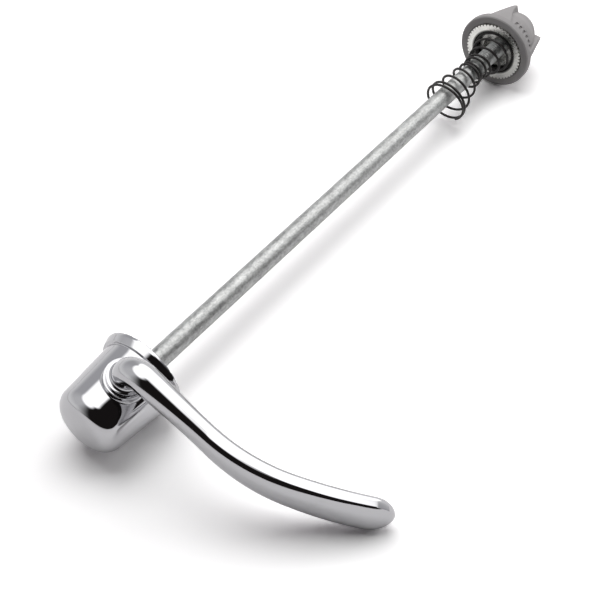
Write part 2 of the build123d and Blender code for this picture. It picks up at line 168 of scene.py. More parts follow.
class Flow:
    """An output of a node tree that Python arithmetic can work on; each sum on values adds a Math node."""

    def __init__(self, tree, socket=None):
        self.tree = tree
        self.socket = socket

    def node(self, kind, settings=None, inputs=None, output=0):
        """Adds a node, sets it up, then fills or links its inputs and gives back one of its outputs."""
        made = self.tree.nodes.new(kind)
        for name, value in (settings or {}).items():
            setattr(made, name, value)
        for name, value in (inputs or {}).items():
            if isinstance(value, Flow):
                self.tree.links.new(value.socket, made.inputs[name])
            else:
                made.inputs[name].default_value = value
        return Flow(self.tree, made.outputs[output]) if made.outputs else None

    def calc(self, operation, first, second=0.0):
        return self.node("ShaderNodeMath", {"operation": operation}, {0: first, 1: second})

    def __add__(self, other):
        return self.calc("ADD", self, other)

    def __radd__(self, other):
        return self.calc("ADD", other, self)

    def __sub__(self, other):
        return self.calc("SUBTRACT", self, other)

    def __rsub__(self, other):
        return self.calc("SUBTRACT", other, self)

    def __mul__(self, other):
        return self.calc("MULTIPLY", self, other)

    def __rmul__(self, other):
        return self.calc("MULTIPLY", other, self)

    def step(self, low, high, start=0.0, end=1.0):
        """Eases from start to end while this value goes from low to high."""
        return self.node(
            "ShaderNodeMapRange",
            {"interpolation_type": "SMOOTHSTEP"},
            {"Value": self, "From Min": low, "From Max": high, "To Min": start, "To Max": end},
        )

    def blend(self, first, second):
        """Mixes two colours, with this value as the share of the second."""
        return self.node("ShaderNodeMix", {"data_type": "RGBA"}, {0: self, 6: first, 7: second}, 2)

    def shade(self, first, second):
        """Mixes two shaders, with this value as the share of the second."""
        return self.node("ShaderNodeMixShader", inputs={0: self, 1: first, 2: second})

    def vector(self, operation, first, second, output="Vector"):
        """Vector arithmetic on two places or directions."""
        return self.node("ShaderNodeVectorMath", {"operation": operation}, {0: first, 1: second}, output)

    def place(self):
        """The piece's own coordinates."""
        return self.node("ShaderNodeTexCoord", output="Object")

    def noise(self, scale, detail=3.0, roughness=0.55, stretch=(1.0, 1.0, 1.0)):
        """Noise in the piece's own coordinates, in features per metre, drawn out where stretch is small."""
        place = self.vector("MULTIPLY", self.place(), stretch)
        return self.node(
            "ShaderNodeTexNoise",
            inputs={"Vector": place, "Scale": scale, "Detail": detail, "Roughness": roughness},
        )

    def relief(self, height, distance):
        """Normal of a surface raised by a height pattern."""
        return self.node(
            "ShaderNodeBump",
            inputs={"Strength": 1.0, "Distance": distance, "Height": height},
            output="Normal",
        )

    def glow(self, colour, strength=1.0):
        """A shader that gives light of its own."""
        return self.node("ShaderNodeEmission", inputs={"Color": rgba(colour), "Strength": strength})

    def surface(self, inputs):
        """Ends the tree in a Principled surface."""
        shader = self.node("ShaderNodeBsdfPrincipled", inputs=inputs)
        self.node("ShaderNodeOutputMaterial", inputs={"Surface": shader})


def new_material(name):
    """An empty material and the start of its node tree."""
    material = bpy.data.materials.new(name)
    material.use_nodes = True
    material.node_tree.nodes.clear()
    return material, Flow(material.node_tree)


def rgba(colour, share=1.0):
    """A colour property as a socket value, lightened or darkened by a share."""
    return (*[channel * share for channel in colour], 1.0)


# Finishes

TURNING_WAVES = 26000.0
# Radii of the painted shade in the insert's recess: where it fades out, and where its darker band near the
# wall begins
RECESS_SHADE_EDGE = (0.0066, 0.0072)
RECESS_DEEP_SHADE = (0.005, 0.0062)


def polished_chrome(finish):
    """Mirror chrome with faint handling smudges, hairlines along the arm and a trace of orange peel."""
    material, flow = new_material("polished_chrome")
    smudge = flow.noise(130.0, detail=4.0, roughness=0.6).step(0.5, 0.78)
    hairline = flow.noise(2600.0, detail=2.0, roughness=0.5, stretch=(1.0, 0.06, 1.0)).step(0.62, 0.8)
    peel = flow.noise(420.0, detail=2.0, roughness=0.4)
    roughness = finish.chrome_gloss + smudge * 0.035 + hairline * 0.03
    colour = smudge.blend(rgba(finish.chrome), rgba(finish.chrome, 0.95))
    flow.surface({
        "Base Color": colour,
        "Metallic": 1.0,
        "Roughness": roughness,
        "Normal": flow.relief(peel + hairline * 0.15, distance=0.000004),
    })
    return material


def satin_rod(finish):
    """Dull plated rod: drawn lengthwise, mottled where the plating is thin, with dark pin marks."""
    material, flow = new_material("satin_rod")
    blotch = flow.noise(420.0, detail=5.0, roughness=0.66, stretch=(0.6, 1.0, 1.0)).step(0.36, 0.66)
    streak = flow.noise(1500.0, detail=3.0, roughness=0.6, stretch=(0.03, 1.0, 1.0)).step(0.35, 0.7)
    fleck = flow.noise(1500.0, detail=4.0, roughness=0.7, stretch=(0.8, 1.0, 1.0)).step(0.36, 0.64)
    pin = flow.noise(1300.0, detail=1.0, roughness=0.4, stretch=(0.6, 1.0, 1.0)).step(0.70, 0.78)
    mottle = blotch * 0.4 + fleck * 0.6
    pale = mottle.blend(rgba(finish.rod, 0.64), rgba(finish.rod, 1.38))
    colour = (streak * 0.3).blend(pale, rgba(finish.rod, 0.66))
    marked = (pin * 0.6).blend(colour, rgba(finish.rod, 0.35))
    flow.surface({
        "Base Color": marked,
        "Metallic": 1.0,
        "Roughness": 0.32 + fleck * 0.12 + blotch * 0.05,
        "Normal": flow.relief(mottle, distance=0.00004),
    })
    return material


def bright_zinc(finish):
    """Turned, zinc plated steel with fine turning rings round the rod's axis, and painted shade that darkens
    the recess.
    """
    material, flow = new_material("bright_zinc")
    flat = flow.vector("MULTIPLY", flow.place(), (0.0, 1.0, 1.0))
    radius = flow.node("ShaderNodeVectorMath", {"operation": "LENGTH"}, {0: flat}, "Value")
    rings = flow.calc("SINE", radius * TURNING_WAVES) * 0.5 + 0.5
    cloud = flow.noise(330.0, detail=4.0, roughness=0.6).step(0.35, 0.7)
    # Painted shade: the recess is darkened, and painted darker still in a band near its wall
    recess_shade = radius.step(*RECESS_SHADE_EDGE, 1.0, 0.0)
    rim = recess_shade * radius.step(*RECESS_DEEP_SHADE)
    colour = cloud.blend(rgba(finish.zinc, 0.86), rgba(finish.zinc, 1.04))
    colour = recess_shade.blend(colour, rgba(finish.zinc, 0.45))
    colour = rim.blend(colour, rgba(finish.zinc, 0.1))
    flow.surface({
        "Base Color": colour,
        "Metallic": 1.0,
        "Roughness": 0.16 + cloud * 0.10 + rings * 0.04,
        "Normal": flow.relief(rings * 0.6 + cloud * 0.4, distance=0.000012),
    })
    return material


def blackened_wire(finish):
    """Oil-blackened wire, a little brown and rubbed brighter in places."""
    material, flow = new_material("blackened_wire")
    rubbed = flow.noise(900.0, detail=3.0, roughness=0.6).step(0.55, 0.8)
    grain = flow.noise(4200.0, detail=2.0, roughness=0.6)
    colour = rubbed.blend(rgba(finish.wire), rgba(finish.wire, 3.2))
    flow.surface({
        "Base Color": colour,
        "Metallic": 0.35,
        "Roughness": 0.42 - rubbed * 0.12 + grain * 0.08,
        "Normal": flow.relief(grain, distance=0.00001),
    })
    return material


def grey_moulding(finish):
    """Matte grey plastic with a fine eroded grain and faint flow clouds."""
    material, flow = new_material("grey_moulding")
    cloud = flow.noise(160.0, detail=3.0, roughness=0.5).step(0.3, 0.7)
    grain = flow.noise(3600.0, detail=3.0, roughness=0.65)
    colour = cloud.blend(rgba(finish.knob, 0.94), rgba(finish.knob, 1.06))
    flow.surface({
        "Base Color": colour,
        "Roughness": 0.46 + grain * 0.14,
        "Normal": flow.relief(grain, distance=0.00003),
    })
    return material


def plated_washer(finish):
    """Plain plated steel for the washer, with a brushed face."""
    material, flow = new_material("plated_washer")
    brushed = flow.noise(2400.0, detail=3.0, roughness=0.6, stretch=(0.08, 1.0, 1.0)).step(0.3, 0.7)
    colour = brushed.blend(rgba(finish.zinc, 0.78), rgba(finish.zinc))
    flow.surface({
        "Base Color": colour,
        "Metallic": 1.0,
        "Roughness": 0.26 + brushed * 0.1,
        "Normal": flow.relief(brushed, distance=0.00001),
    })
    return material


class SKEWER_OT_finishes(bpy.types.Operator):
    """Makes the materials of the pieces."""

    bl_idname = "skewer.finishes"
    bl_label = "Finishes"

    def execute(self, context):
        finish = context.scene.skewer_finish
        for make in (polished_chrome, satin_rod, bright_zinc, blackened_wire, grey_moulding, plated_washer):
            make(finish)
        return {"FINISHED"}


# Meshes

MERGE_M = 2e-7
SOLID_MERGE_M = 1e-6
SOFTENED_ANGLE = math.radians(28)


def around(count):
    """Angles evenly spaced round a full turn."""
    return [2 * math.pi * k / count for k in range(count)]


def eased(corners, steps=6):
    """Outline through (along, out, radius) corners, each rounded by an arc of its own radius."""
    outline = []
    for k, (along, out, radius) in enumerate(corners):
        here = Vector((along, out))
        if radius == 0 or k in (0, len(corners) - 1):
            outline.append(here)
            continue
        back = (Vector(corners[k - 1][:2]) - here).normalized()
        on = (Vector(corners[k + 1][:2]) - here).normalized()
        half = back.angle(on) / 2
        centre = here + (back + on).normalized() * (radius / math.sin(half))
        first = here + back * (radius / math.tan(half)) - centre
        last = here + on * (radius / math.tan(half)) - centre
        sweep = first.angle_signed(last)
        for step in range(steps + 1):
            outline.append(centre + first @ Matrix.Rotation(sweep * step / steps, 2))
    return outline


def skin(rings):
    """Points and faces of a skin over closed rings of as many points each."""
    count = len(rings[0])
    points = [point for ring in rings for point in ring]
    faces = []
    for row in range(len(rings) - 1):
        for k in range(count):
            first = row * count + k
            second = row * count + (k + 1) % count
            faces.append((first, second, second + count, first + count))
    return points, faces


def round_rod(outline, sides, groove=None):
    """Skin turned about the rod's axis from (x, radius) points; groove lowers the points of a face."""
    rings = []
    for x, radius in outline:
        ring = []
        for turn in around(sides):
            along = x if groove is None else groove(x, radius, turn)
            ring.append(Vector((along, -radius * math.sin(turn), radius * math.cos(turn))))
        rings.append(ring)
    return skin(rings)


def round_shaft(outline, sides, x=SHAFT_X):
    """Skin turned about the lever's shaft from (height, radius) points."""
    rings = []
    for height, radius in outline:
        ring = []
        for turn in around(sides):
            ring.append(Vector((x + radius * math.cos(turn), radius * math.sin(turn), height)))
        rings.append(ring)
    return skin(rings)


def build_mesh(name, shapes, place=None):
    """One mesh from several skins, in metres, with its normals turned outwards."""
    points = []
    faces = []
    for shape_points, shape_faces in shapes:
        offset = len(points)
        points.extend((place @ point if place else point) * MM for point in shape_points)
        faces.extend(tuple(corner + offset for corner in face) for face in shape_faces)
    mesh = bpy.data.meshes.new(name)
    mesh.from_pydata(points, [], faces)
    work = bmesh.new()
    work.from_mesh(mesh)
    bmesh.ops.remove_doubles(work, verts=work.verts, dist=MERGE_M)
    bmesh.ops.holes_fill(work, edges=work.edges, sides=0)
    bmesh.ops.recalc_face_normals(work, faces=work.faces)
    work.to_mesh(mesh)
    work.free()
    return mesh


def add_object(name, mesh, material=None):
    """Links a mesh into the scene."""
    piece = bpy.data.objects.new(name, mesh)
    bpy.context.scene.collection.objects.link(piece)
    if material:
        mesh.materials.clear()
        mesh.materials.append(material)
    return piece


def carve(mesh, cutters):
    """A mesh with other meshes cut out of it."""
    body = add_object("carved", mesh)
    tools = [add_object("cutter", cutter) for cutter in cutters]
    for tool in tools:
        cut = body.modifiers.new("cut", "BOOLEAN")
        cut.operation = "DIFFERENCE"
        cut.solver = "EXACT"
        cut.object = tool
    bpy.context.view_layer.update()
    carved = bpy.data.meshes.new_from_object(body.evaluated_get(bpy.context.evaluated_depsgraph_get()))
    for spare in [body, *tools]:
        bpy.data.objects.remove(spare)
    return carved


def joined(name, meshes):
    """One mesh from several, turned to the way the part lies."""
    work = bmesh.new()
    for mesh in meshes:
        work.from_mesh(mesh)
    whole = bpy.data.meshes.new(name)
    work.to_mesh(whole)
    work.free()
    whole.transform(ROLLED)
    return whole


def stand_for(node, mesh, sharp_deg, finish, body):
    """Shows a smooth mesh in place of a solid and lets it move with that solid's body."""
    mesh.polygons.foreach_set("use_smooth", [True] * len(mesh.polygons))
    mesh.set_sharp_from_angle(angle=math.radians(sharp_deg))
    piece = add_object(node + "_shown", mesh, bpy.data.materials[finish])
    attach(piece, body)
    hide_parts(node)


def soften(node, width, finish):
    """Gives a solid its material and rounds its edges."""
    piece = frame["nodes"][node]
    piece.data.materials.clear()
    piece.data.materials.append(bpy.data.materials[finish])
    weld = piece.modifiers.new("weld", "WELD")
    weld.merge_threshold = SOLID_MERGE_M
    bevel = piece.modifiers.new("edges", "BEVEL")
    bevel.width = width
    bevel.segments = 3
    bevel.limit_method = "ANGLE"
    bevel.angle_limit = SOFTENED_ANGLE
    bevel.harden_normals = True


# Cam housing

CROWN = 0.5
END_X = -19.8
END_ROUNDING = 4.0
BODY_R = 9.65
BODY_TAPER = math.radians(4.6)
STEP_X = -2.4
STEP_R = 10.4
STEP_ROUNDING = 0.14
RIM_R = 11.05
RIM_X = -0.85
RIM_ROUNDING = 1.0
RIM_EDGE = 0.16
CLAMP_BEVEL = 0.25
CLAMP_EDGE = 0.1
CLAMP_LAND = 0.8
CLAMP_RINGS_R = (9.7, 9.2, 8.7, 8.2, 7.8, 7.6)
SERRATION_R = 7.7
SERRATION_DEPTH = 0.35
SERRATION_HALF = 0.8
SERRATED_X = -0.42
SERRATION_SIDES = 16
MOUTH_LAND_R = 7.4
MOUTH_R = 6.35
MOUTH_DEPTH = 0.4
MOUTH_EDGE = 0.12
BORE_R = 5.95
BORE_FLOOR_X = -15.05
BORE_ROWS_X = (-4.0, -8.0, -12.0)
BORE_CORNER_X = -12.5
BORE_CORNER = 0.4
POCKET_R = 4.3
POCKET_FLOOR = -7.35
POCKET_MOUTH = -12.0
POCKET_SIDES = 128
BOSS_R = 4.8
BOSS_ROOT = 6.2
BOSS_TOP = 10.2
BOSS_EDGE = 0.2
BOSS_SIDES = 160
HOUSING_SHARP_DEG = 32


def closed_end_outline():
    """Half section of the closed end: a shallow crown, then the rounding that meets the tapered side."""
    end_r = BODY_R - (STEP_X - END_X) * math.tan(BODY_TAPER)
    crown_r = (end_r ** 2 + CROWN ** 2) / (2 * CROWN)
    crown_centre = Vector((END_X - CROWN + crown_r, 0))
    along = Vector((math.cos(BODY_TAPER), math.sin(BODY_TAPER)))
    inward = Vector((math.sin(BODY_TAPER), -math.cos(BODY_TAPER)))
    near, far = 0.0, 2 * END_ROUNDING
    halvings, crown_steps, corner_steps = 40, 8, 18
    for _ in range(halvings):
        middle = (near + far) / 2
        centre = Vector((END_X, end_r)) + along * middle + inward * END_ROUNDING
        if (centre - crown_centre).length > crown_r - END_ROUNDING:
            near = middle
        else:
            far = middle
    start = (centre - crown_centre).normalized()
    crown_turn = math.atan2(start.y, -start.x)
    side_turn = math.atan2(-inward.y, inward.x)
    outline = []
    for step in range(crown_steps + 1):
        turn = crown_turn * step / crown_steps
        outline.append(crown_centre + crown_r * Vector((-math.cos(turn), math.sin(turn))))
    for step in range(1, corner_steps + 1):
        turn = crown_turn + (side_turn - crown_turn) * step / corner_steps
        outline.append(centre + END_ROUNDING * Vector((-math.cos(turn), math.sin(turn))))
    return outline


def housing_body_outline():
    """Half section from the middle of the closed end, over the flange, to the floor of the bore."""
    outline = closed_end_outline()
    foot = outline[-1]
    side_steps = 16
    for step in range(1, side_steps):
        outline.append(foot.lerp(Vector((STEP_X, BODY_R)), step / side_steps))
    outline += eased([
        (*outline[-1], 0),
        (STEP_X, BODY_R, STEP_ROUNDING),
        (STEP_X, STEP_R, RIM_EDGE),
        (RIM_X, RIM_R, RIM_ROUNDING),
        (-CLAMP_BEVEL, RIM_R, RIM_EDGE),
        (0.0, RIM_R - CLAMP_BEVEL, CLAMP_EDGE),
        (0.0, RIM_R - CLAMP_LAND, 0),
    ])[1:]
    outline += [Vector((0.0, radius)) for radius in CLAMP_RINGS_R]
    outline += eased([
        (0.0, MOUTH_LAND_R, 0),
        (0.0, MOUTH_R, MOUTH_EDGE),
        (-MOUTH_DEPTH, BORE_R, MOUTH_EDGE),
        (-2 * MOUTH_DEPTH, BORE_R, 0),
    ], steps=4)
    outline += [Vector((x, BORE_R)) for x in BORE_ROWS_X]
    outline += eased([
        (BORE_CORNER_X, BORE_R, 0),
        (BORE_FLOOR_X, BORE_R, BORE_CORNER),
        (BORE_FLOOR_X, 0.0, 0),
    ], steps=4)
    return outline


def serrated(count):
    """Lowers the clamp face in V grooves that run out from its middle."""
    pitch = 2 * math.pi / count

    def groove(x, radius, turn):
        if x < SERRATED_X or radius < SERRATION_R:
            return x
        aside = abs(radius * math.sin((turn + pitch / 2) % pitch - pitch / 2))
        return min(x, -SERRATION_DEPTH * max(0.0, 1 - aside / SERRATION_HALF))

    return groove


def boss_fillet_skin(width):
    """Hollow rounding between the boss and the tapered body round it."""
    def body_height(x, y):
        radius = BODY_R - (STEP_X - x) * math.tan(BODY_TAPER)
        return math.sqrt(radius ** 2 - y ** 2)

    steps = 6
    foot_r = BOSS_R + width
    rings = []
    for step in range(steps + 1):
        share = step / steps
        ring = []
        for turn in around(BOSS_SIDES):
            out = Vector((math.cos(turn), math.sin(turn)))
            root = Vector((SHAFT_X + BOSS_R * out.x, BOSS_R * out.y))
            toe = Vector((SHAFT_X + foot_r * out.x, foot_r * out.y))
            high = Vector((*root, body_height(*root) + width))
            low = Vector((*root, body_height(*root)))
            far = Vector((*toe, body_height(*toe)))
            ring.append(high.lerp(low, share).lerp(low.lerp(far, share), share))
        rings.append(ring)
    return skin(rings)


class SKEWER_OT_housing(bpy.types.Operator):
    """Builds the chromed cam housing with its boss, bore and serrated clamp face."""

    bl_idname = "skewer.housing"
    bl_label = "Cam housing"

    def execute(self, context):
        sizes = context.scene.skewer_sizes
        count = sizes.serrations
        body = round_rod(housing_body_outline(), count * SERRATION_SIDES, serrated(count))
        pocket = round_shaft(
            eased([
                (POCKET_MOUTH, 0, 0),
                (POCKET_MOUTH, POCKET_R, 0),
                (POCKET_FLOOR, POCKET_R, 0),
                (POCKET_FLOOR, 0, 0),
            ]),
            POCKET_SIDES,
        )
        boss = round_shaft(
            eased([
                (BOSS_ROOT, 0, 0),
                (BOSS_ROOT, BOSS_R, 0),
                (BOSS_TOP, BOSS_R, BOSS_EDGE),
                (BOSS_TOP, 0, 0),
            ], steps=8),
            BOSS_SIDES,
        )
        cup = carve(build_mesh("housing_body", [body]), [build_mesh("pocket", [pocket])])
        trim = build_mesh("housing_boss", [boss, boss_fillet_skin(sizes.boss_fillet / MM)])
        mesh = joined("cam_housing_shown", [cup, trim])
        stand_for("cam_housing", mesh, HOUSING_SHARP_DEG, "polished_chrome", "housing")
        return {"FINISHED"}


# Lever

NECK_D = 6.6
NECK_BASE = 11.05
NECK_RISES = (0.02, 0.5)
NECK_FILLET = 0.8
NECK_ROOT = 0.9
NECK_LAP = 0.01
NECK_ROOT_LAP = 0.03
ELBOW_R = 4.6
ELBOW_STEPS = 16
ARM_HEIGHT = 16.54
ARM_STRAIGHT = 18.2
ARM_BEND_R = 44.0
ARM_BEND = math.radians(24.5)
ARM_TAIL_R = 115.0
ARM_LENGTH = 60.4
ARM_STEPS = 96
ARM_SIDES = 96
WAIST = 17.0
WAIST_THICK = 4.8
WAIST_WIDTH = 6.2
TIP_THICK = 5.35
TIP_WIDTH = 8.9
TIP_ROUNDING = 5.6
TIP_STEPS = 24
TIP_LEAN = 0.86
LEAN_START = 10.0
LEAN_FULL = 57.0
LEAN_GROWTH = 1.2
ELLIPSE = 2
TIP_SQUARENESS = 5
END_SQUARENESS = 2.4
COLLAR_R = 4.25
COLLAR_BASE = 10.25
COLLAR_EDGE = 0.05
COLLAR_SIDES = 128
JOURNAL_R = 4.1
SHAFT_EDGE = 0.1
SHAFT_SIDES = 96
CAM_HALF = 2.75
CAM_TOP = 2.8
CAM_R = 2.8
CAM_THROW = 1.2
TAIL_R = 2.5
TAIL_END = -8.85
TAIL_EDGE = 0.2
GROOVE_R = 2.1
GROOVE_LOW = -8.4
GROOVE_HIGH = -7.9
LEVER_SHARP_DEG = 32


def neck_place(height):
    """Middle and directions of a section across the upright neck."""
    return Vector((SHAFT_X, 0, height)), Vector((1, 0, 0)), Vector((0, 1, 0))


def elbow_place(angle):
    """Middle and directions of a section across the elbow between neck and arm."""
    middle = Vector((
        SHAFT_X,
        -ELBOW_R * (1 - math.cos(angle)),
        ARM_HEIGHT - ELBOW_R * (1 - math.sin(angle)),
    ))
    return middle, Vector((1, 0, 0)), Vector((0, math.cos(angle), math.sin(angle)))


def arm_place(distance):
    """Middle of the arm at a distance along it, with its directions through the thickness and the width."""
    in_bend = min(max(distance - ARM_STRAIGHT, 0), ARM_BEND * ARM_BEND_R)
    in_tail = max(distance - ARM_STRAIGHT - in_bend, 0)
    bend = in_bend / ARM_BEND_R
    heading = bend + in_tail / ARM_TAIL_R
    x = SHAFT_X + ARM_BEND_R * (1 - math.cos(bend)) + ARM_TAIL_R * (math.cos(bend) - math.cos(heading))
    reach = ELBOW_R + min(distance, ARM_STRAIGHT)
    reach += ARM_BEND_R * math.sin(bend) + ARM_TAIL_R * (math.sin(heading) - math.sin(bend))
    middle = Vector((x, -reach, ARM_HEIGHT))
    return middle, Vector((math.cos(heading), math.sin(heading), 0)), Vector((0, 0, 1))


def arm_size(distance):
    """Thickness, width and squareness: round at the root, slim at the waist, broad at the tip."""
    end = ARM_LENGTH - TIP_ROUNDING
    squareness = ELLIPSE + (TIP_SQUARENESS - ELLIPSE) * distance / end
    if distance < WAIST:
        share = math.sin(math.pi / 2 * distance / WAIST)
        thickness = NECK_D + share * (WAIST_THICK - NECK_D)
        return thickness, NECK_D + share * (WAIST_WIDTH - NECK_D), squareness
    share = math.sin(math.pi / 2 * (distance - WAIST) / (end - WAIST))
    thickness = WAIST_THICK + share * (TIP_THICK - WAIST_THICK)
    return thickness, WAIST_WIDTH + share * (TIP_WIDTH - WAIST_WIDTH), squareness


def arm_lean(distance):
    """Share by which the outer face tips back at its upper edge, growing towards the tip."""
    share = max(0.0, distance - LEAN_START) / (LEAN_FULL - LEAN_START)
    return TIP_LEAN * min(share, 1.0) ** LEAN_GROWTH


def arm_ring(place, thickness, width, squareness, lean=0.0):
    """Evenly spaced points round a section, an ellipse at squareness 2, its outer face tipped by lean."""
    middle, through, across = place
    fine_steps = 720
    fine = []
    for k in range(fine_steps + 1):
        turn = 2 * math.pi * k / fine_steps
        x = math.copysign(abs(math.cos(turn)) ** (2 / squareness), math.cos(turn)) * thickness / 2
        y = math.copysign(abs(math.sin(turn)) ** (2 / squareness), math.sin(turn)) * width / 2
        if x < 0:
            x *= 1 - lean * (0.5 + y / width) ** 2
        fine.append(Vector((x, y)))
    run = [0.0]
    for first, second in zip(fine, fine[1:]):
        run.append(run[-1] + (second - first).length)
    ring = []
    here = 0
    for k in range(ARM_SIDES):
        goal = run[-1] * k / ARM_SIDES
        while run[here + 1] < goal:
            here += 1
        share = (goal - run[here]) / (run[here + 1] - run[here])
        spot = fine[here].lerp(fine[here + 1], share)
        ring.append(middle + through * spot.x + across * spot.y)
    return ring


def lever_arm_skin():
    """Neck, elbow and curved arm with its rounded tip."""
    rings = []
    for rise in NECK_RISES:
        rings.append(arm_ring(neck_place(NECK_BASE + rise), NECK_D, NECK_D, ELLIPSE))
    for step in range(ELBOW_STEPS):
        rings.append(arm_ring(elbow_place(math.pi / 2 * step / ELBOW_STEPS), NECK_D, NECK_D, ELLIPSE))
    end = ARM_LENGTH - TIP_ROUNDING
    for step in range(ARM_STEPS + 1):
        distance = end * step / ARM_STEPS
        rings.append(arm_ring(arm_place(distance), *arm_size(distance), arm_lean(distance)))
    thickness, width, squareness = arm_size(end)
    smallest = 1e-4
    for step in range(1, TIP_STEPS + 1):
        turn = math.pi / 2 * step / TIP_STEPS
        left = max(math.cos(turn), smallest)
        distance = end + TIP_ROUNDING * math.sin(turn)
        rounder = squareness + (END_SQUARENESS - squareness) * math.sin(turn) ** 2
        lean = arm_lean(distance)
        rings.append(arm_ring(arm_place(distance), thickness * left, width * left, rounder, lean))
    return skin(rings)


class SKEWER_OT_lever(bpy.types.Operator):
    """Builds the chromed lever with its neck, collar, journal, eccentric cam and grooved end."""

    bl_idname = "skewer.lever"
    bl_label = "Lever"

    def execute(self, context):
        collar = round_shaft(
            eased([
                (CAM_HALF, 0, 0),
                (CAM_HALF, JOURNAL_R, SHAFT_EDGE),
                (COLLAR_BASE, JOURNAL_R, 0),
                (COLLAR_BASE, COLLAR_R, COLLAR_EDGE),
                (NECK_BASE, COLLAR_R, SHAFT_EDGE),
                (NECK_BASE, NECK_D / 2 - NECK_LAP, NECK_FILLET),
                (NECK_BASE + NECK_ROOT, NECK_D / 2 - NECK_ROOT_LAP, 0),
                (NECK_BASE + NECK_ROOT, 0, 0),
            ]),
            COLLAR_SIDES,
        )
        cam = round_shaft(
            eased([(-CAM_HALF, 0, 0), (-CAM_HALF, CAM_R, SHAFT_EDGE), (CAM_TOP, CAM_R, 0), (CAM_TOP, 0, 0)]),
            SHAFT_SIDES,
            SHAFT_X - CAM_THROW,
        )
        tail = round_shaft(
            eased([
                (TAIL_END, 0, 0),
                (TAIL_END, TAIL_R, TAIL_EDGE),
                (GROOVE_LOW, TAIL_R, 0),
                (GROOVE_LOW, GROOVE_R, 0),
                (GROOVE_HIGH, GROOVE_R, 0),
                (GROOVE_HIGH, TAIL_R, 0),
                (-CAM_HALF, TAIL_R, 0),
                (-CAM_HALF, 0, 0),
            ]),
            SHAFT_SIDES,
        )
        mesh = build_mesh("lever_shown", [lever_arm_skin(), collar, cam, tail], ROLLED)
        stand_for("lever", mesh, LEVER_SHARP_DEG, "polished_chrome", "lever")
        return {"FINISHED"}


# Rod

EYE_END = -14.45
EYE_R = 5.75
EYE_EDGE = 0.5
EYE_HALF = 2.7
SHOULDER_X = -5.35
SHOULDER_R = 4.0
SHOULDER_EDGE = 0.4
SHOULDER_FILLET = 0.3
SHANK_START = -2.35
SHANK_ROWS_X = (-2.3, 20.0, 50.0, 80.0, 110.0)
EYE_SIDES = 96
SLOT_R = 3.1
SLOT_HALF = 1.05
SLOT_REACH = 6.0
SLOT_SIDES = 64
FLAT_X = (-30, 10)
FLAT_Y = (-10, 10)
FLAT_TOP = 12
FLAT_WALLS = ((0, 1, 3, 2), (4, 6, 7, 5), (0, 4, 5, 1), (2, 3, 7, 6), (0, 2, 6, 4), (1, 5, 7, 3))
THREAD_DEPTH = 0.6
THREAD_FLANK = 2.6
THREAD_STEPS = 12
THREAD_RUN_OUT = 0.4
ROD_CHAMFER = 0.5
ROD_END_GAP = 0.05
ROD_SIDES = 64
ROD_SHARP_DEG = 30


def rod_shank_skin(radius, pitch, thread_length):
    """The plain shank, the run-out and the thread, turned about the rod's axis."""
    thread_start = ROD_END - thread_length
    depth = THREAD_DEPTH * pitch
    rows = [(x, 0.0) for x in (SHANK_START, *SHANK_ROWS_X, thread_start - THREAD_RUN_OUT)]
    count = int(thread_length / pitch * THREAD_STEPS)
    for k in range(count + 1):
        x = thread_start + (thread_length - ROD_END_GAP) * k / count
        rows.append((x, min(1.0, k / THREAD_STEPS)))
    rings = [[Vector((SHANK_START, 0, 0))] * ROD_SIDES]
    for x, cut in rows:
        chamfer = max(0.0, x - (ROD_END - ROD_CHAMFER))
        ring = []
        for turn in around(ROD_SIDES):
            wave = (x / pitch + turn / (2 * math.pi)) % 1.0
            ridge = min(1.0, abs(wave - 0.5) * THREAD_FLANK)
            out = min(radius - depth * cut * (1 - ridge), radius - chamfer)
            ring.append(Vector((x, -out * math.sin(turn), out * math.cos(turn))))
        rings.append(ring)
    rings.append([Vector((ROD_END, 0, 0))] * ROD_SIDES)
    return skin(rings)


def eye_flat(side):
    """Block that cuts the eye flat on one side."""
    corners = []
    for x in FLAT_X:
        for y in FLAT_Y:
            for z in (EYE_HALF * side, FLAT_TOP * side):
                corners.append(Vector((x, y, z)))
    return build_mesh("eye_flat", [(corners, FLAT_WALLS)])


def eye_slot():
    """Round-ended slot that the cam turns in."""
    rings = []
    for height in (-SLOT_REACH, SLOT_REACH):
        ring = []
        for turn in around(SLOT_SIDES):
            x = SHAFT_X - CAM_THROW + SLOT_R * math.cos(turn)
            side = SLOT_HALF if math.sin(turn) >= 0 else -SLOT_HALF
            ring.append(Vector((x, side + SLOT_R * math.sin(turn), height)))
        rings.append(ring)
    return build_mesh("eye_slot", [skin(rings)])


class SKEWER_OT_rod(bpy.types.Operator):
    """Builds the rod with its forged eye and its thread."""

    bl_idname = "skewer.rod"
    bl_label = "Rod"

    def execute(self, context):
        sizes = context.scene.skewer_sizes
        radius = sizes.rod_diameter / MM / 2
        head = eased([
            (EYE_END, 0, 0),
            (EYE_END, EYE_R, EYE_EDGE),
            (SHOULDER_X, EYE_R, SHOULDER_EDGE),
            (SHOULDER_X, SHOULDER_R, SHOULDER_FILLET),
            (SHANK_START, radius, 0),
            (SHANK_START, 0, 0),
        ])
        eye = build_mesh("rod_eye", [round_rod(head, EYE_SIDES)])
        eye = carve(eye, [eye_flat(-1), eye_flat(1), eye_slot()])
        shank = rod_shank_skin(radius, sizes.thread_pitch / MM, sizes.thread_length / MM)
        mesh = joined("skewer_rod_shown", [eye, build_mesh("rod_shank", [shank])])
        stand_for("skewer_rod", mesh, ROD_SHARP_DEG, "satin_rod", "rod")
        return {"FINISHED"}


# Springs

